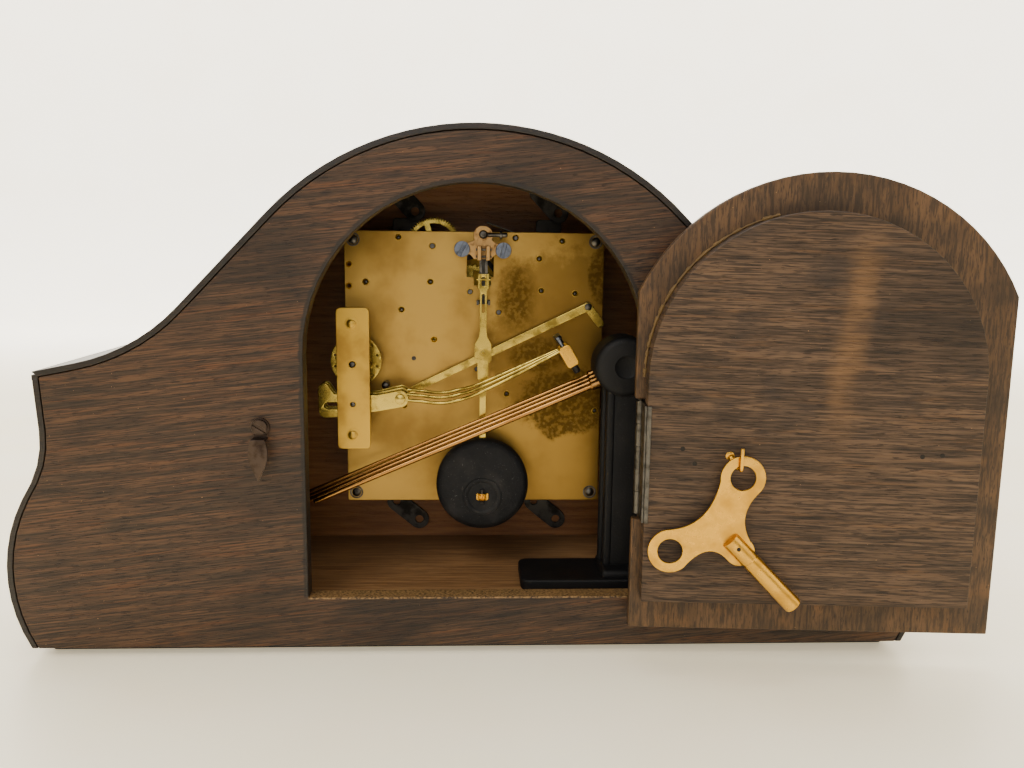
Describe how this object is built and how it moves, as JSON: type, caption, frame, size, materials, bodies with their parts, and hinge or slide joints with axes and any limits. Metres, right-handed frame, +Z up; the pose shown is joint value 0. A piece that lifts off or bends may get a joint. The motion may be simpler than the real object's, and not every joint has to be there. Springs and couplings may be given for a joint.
{
  "type": "mantel clock",
  "caption": "Striking mantel clock in a hump-shaped wooden case, its back door open on the movement, pendulum, gong rods and key.",
  "frame": {"origin": "centre of the plinth's flat underside", "axes": "+X to the right and -Y towards the dial side when the clock is looked at from the front, +Z up"},
  "size_m": [0.4181, 0.1581, 0.2276],
  "materials": {
    "veneer": "dark stained veneer, satin",
    "moulding": "black-brown stained bent plywood, satin",
    "base_wood": "plain board, unfinished",
    "plywood": "stained plywood, worn",
    "plate_brass": "tarnished rolled brass",
    "bright_brass": "polished brass",
    "steel": "dull steel",
    "dark_steel": "dark bronzed steel",
    "black_iron": "black painted casting",
    "copper": "coppery bronze rod",
    "silvered": "silvered dial",
    "glass": "clear convex glass"
  },
  "bodies": {
    "case": {"plinth": "moulding", "base_board": "base_wood", "front_board": "veneer", "back_panel": "veneer", "top_skin": "moulding", "end_skin_left": "moulding", "end_skin_right": "moulding", "dial_plate": "silvered", "bezel_hinge": "bright_brass", "hinge_jamb_leaf": "steel", "hinge_pin": "steel", "turn_button_screw": "dark_steel", "gong_stand": "black_iron", "gong_rod_1": "copper", "gong_rod_2": "copper", "gong_rod_3": "copper", "gong_rod_4": "copper", "front_plate": "plate_brass", "back_plate": "plate_brass", "mounting_strap_left": "steel", "mounting_strap_right": "steel", "suspension_cock": "copper", "hammer_bridge": "plate_brass"},
    "door": {"door_rim": "veneer", "door_plug": "plywood", "hinge_door_leaf": "steel", "key_hook": "bright_brass"},
    "key": {"key_plate": "bright_brass", "key_barrel": "bright_brass"},
    "catch": {"turn_button": "dark_steel"},
    "bezel": {"bezel_ring": "bright_brass", "bezel_glass": "glass"},
    "hour": {"hour_hand": "dark_steel"},
    "centre": {"centre_wheel": "plate_brass", "minute_hand": "dark_steel"},
    "time_drum": {"time_barrel": "plate_brass"},
    "time_second": {"time_second_wheel": "plate_brass"},
    "third": {"third_wheel": "plate_brass"},
    "escape": {"escape_wheel": "plate_brass"},
    "escapement": {"anchor": "bright_brass"},
    "pendulum": {"suspension_spring": "steel", "pendulum_rod": "plate_brass", "pendulum_bob": "black_iron"},
    "regulator": {"rating_nut": "bright_brass"},
    "strike_drum": {"strike_barrel": "plate_brass"},
    "strike_second": {"strike_second_wheel": "plate_brass"},
    "star": {"star_wheel": "plate_brass"},
    "strike_third": {"strike_third_wheel": "plate_brass"},
    "warning": {"warning_wheel": "plate_brass"},
    "fly": {"fly": "steel"},
    "time_winder": {"time_winding_arbor": "steel"},
    "strike_winder": {"strike_winding_arbor": "steel"},
    "hammer_1": {"hammer_lever_1": "bright_brass", "hammer_head_1": "bright_brass"},
    "hammer_2": {"hammer_lever_2": "bright_brass", "hammer_head_2": "bright_brass"},
    "hammer_3": {"hammer_lever_3": "bright_brass", "hammer_head_3": "bright_brass"},
    "silence_rocker": {"silence_rocker": "plate_brass"},
    "silence_lever": {"silence_lever": "plate_brass"}
  },
  "joints": [
    {"name": "back_door", "type": "hinge", "parent": "case", "child": "door", "pos_m": [-0.0685, 0.0612, 0.0907], "axis": [0, 0, 1], "range_deg": [-176, 0]},
    {"name": "key_swing", "type": "hinge", "parent": "door", "child": "key", "pos_m": [-0.1057, 0.08255, 0.0905], "axis": [-0.0698, -0.9976, 0], "range_deg": [-25, 25]},
    {"name": "turn_button", "type": "hinge", "parent": "case", "child": "catch", "pos_m": [0.091, 0.0555, 0.1023], "axis": [0, 1, 0], "continuous": true},
    {"name": "bezel_door", "type": "hinge", "parent": "case", "child": "bezel", "pos_m": [0.0768, -0.0576, 0.119], "axis": [0, 0, 1], "range_deg": [0, 110]},
    {"name": "minute_arbor", "type": "hinge", "parent": "case", "child": "centre", "pos_m": [0, -0.0383, 0.119], "axis": [0, 1, 0], "continuous": true},
    {"name": "hour_pipe", "type": "hinge", "parent": "case", "child": "hour", "pos_m": [0, -0.058, 0.119], "axis": [0, 1, 0], "continuous": true},
    {"name": "time_barrel", "type": "hinge", "parent": "case", "child": "time_drum", "pos_m": [-0.0353, -0.0383, 0.086], "axis": [0, 1, 0], "continuous": true},
    {"name": "time_second", "type": "hinge", "parent": "case", "child": "time_second", "pos_m": [-0.0146, -0.0383, 0.1069], "axis": [0, 1, 0], "continuous": true},
    {"name": "third_arbor", "type": "hinge", "parent": "case", "child": "third", "pos_m": [-0.0104, -0.0383, 0.1467], "axis": [0, 1, 0], "continuous": true},
    {"name": "escape_arbor", "type": "hinge", "parent": "case", "child": "escape", "pos_m": [0.0035, -0.0383, 0.1565], "axis": [0, 1, 0], "continuous": true},
    {"name": "pendulum_swing", "type": "hinge", "parent": "case", "child": "pendulum", "pos_m": [-0.0028, 0.009, 0.1724], "axis": [0, 1, 0], "range_deg": [-4, 4]},
    {"name": "anchor_rock", "type": "hinge", "parent": "case", "child": "escapement", "pos_m": [-0.0028, -0.0383, 0.174], "axis": [0, 1, 0], "range_deg": [-4, 4]},
    {"name": "rating_nut_turn", "type": "hinge", "parent": "pendulum", "child": "regulator", "pos_m": [-0.0028, 0.0144, 0.0601], "axis": [0, 0, 1], "continuous": true},
    {"name": "strike_barrel", "type": "hinge", "parent": "case", "child": "strike_drum", "pos_m": [0.0353, -0.0383, 0.086], "axis": [0, 1, 0], "continuous": true},
    {"name": "strike_second", "type": "hinge", "parent": "case", "child": "strike_second", "pos_m": [0.0438, -0.0383, 0.1115], "axis": [0, 1, 0], "continuous": true},
    {"name": "star_arbor", "type": "hinge", "parent": "case", "child": "star", "pos_m": [0.0573, -0.0383, 0.1239], "axis": [0, 1, 0], "continuous": true},
    {"name": "strike_third", "type": "hinge", "parent": "case", "child": "strike_third", "pos_m": [0.0305, -0.0383, 0.1242], "axis": [0, 1, 0], "continuous": true},
    {"name": "warning_arbor", "type": "hinge", "parent": "case", "child": "warning", "pos_m": [0.0215, -0.0383, 0.178], "axis": [0, 1, 0], "continuous": true},
    {"name": "fly_arbor", "type": "hinge", "parent": "case", "child": "fly", "pos_m": [-0.0181, -0.0383, 0.1822], "axis": [0, 1, 0], "continuous": true},
    {"name": "time_winding", "type": "hinge", "parent": "case", "child": "time_winder", "pos_m": [-0.0353, -0.0383, 0.086], "axis": [0, 1, 0], "continuous": true},
    {"name": "strike_winding", "type": "hinge", "parent": "case", "child": "strike_winder", "pos_m": [0.0353, -0.0383, 0.086], "axis": [0, 1, 0], "continuous": true},
    {"name": "hammer_lift_1", "type": "hinge", "parent": "case", "child": "hammer_1", "pos_m": [0.0573, 0.0165, 0.1053], "axis": [0, 1, 0], "range_deg": [0, 8]},
    {"name": "hammer_lift_2", "type": "hinge", "parent": "case", "child": "hammer_2", "pos_m": [0.0573, 0.0125, 0.1053], "axis": [0, 1, 0], "range_deg": [0, 8]},
    {"name": "hammer_lift_3", "type": "hinge", "parent": "case", "child": "hammer_3", "pos_m": [0.0573, 0.0085, 0.1053], "axis": [0, 1, 0], "range_deg": [0, 8]},
    {"name": "silence_rocker", "type": "hinge", "parent": "case", "child": "silence_rocker", "pos_m": [-0.0595, 0, 0.1418], "axis": [0, 1, 0], "range_deg": [-8, 8]},
    {"name": "silence_link", "type": "hinge", "parent": "silence_rocker", "child": "silence_lever", "pos_m": [-0.0532, 0, 0.15], "axis": [0, 1, 0], "range_deg": [-8, 8]}
  ],
  "couplings": [
    {"joint": "hour_pipe", "follows": "minute_arbor", "ratio": 0.083333},
    {"joint": "time_second", "follows": "minute_arbor", "ratio": -0.20763},
    {"joint": "time_barrel", "follows": "minute_arbor", "ratio": 0.02569},
    {"joint": "third_arbor", "follows": "minute_arbor", "ratio": -8.1369},
    {"joint": "escape_arbor", "follows": "minute_arbor", "ratio": 34.219},
    {"joint": "anchor_rock", "follows": "pendulum_swing", "ratio": 1},
    {"joint": "strike_third", "follows": "warning_arbor", "ratio": 0.125},
    {"joint": "star_arbor", "follows": "warning_arbor", "ratio": 0.125},
    {"joint": "strike_second", "follows": "warning_arbor", "ratio": -0.027063},
    {"joint": "strike_barrel", "follows": "warning_arbor", "ratio": 0.0037121},
    {"joint": "fly_arbor", "follows": "warning_arbor", "ratio": -4.5},
    {"joint": "silence_link", "follows": "silence_rocker", "ratio": -1}
  ]
}
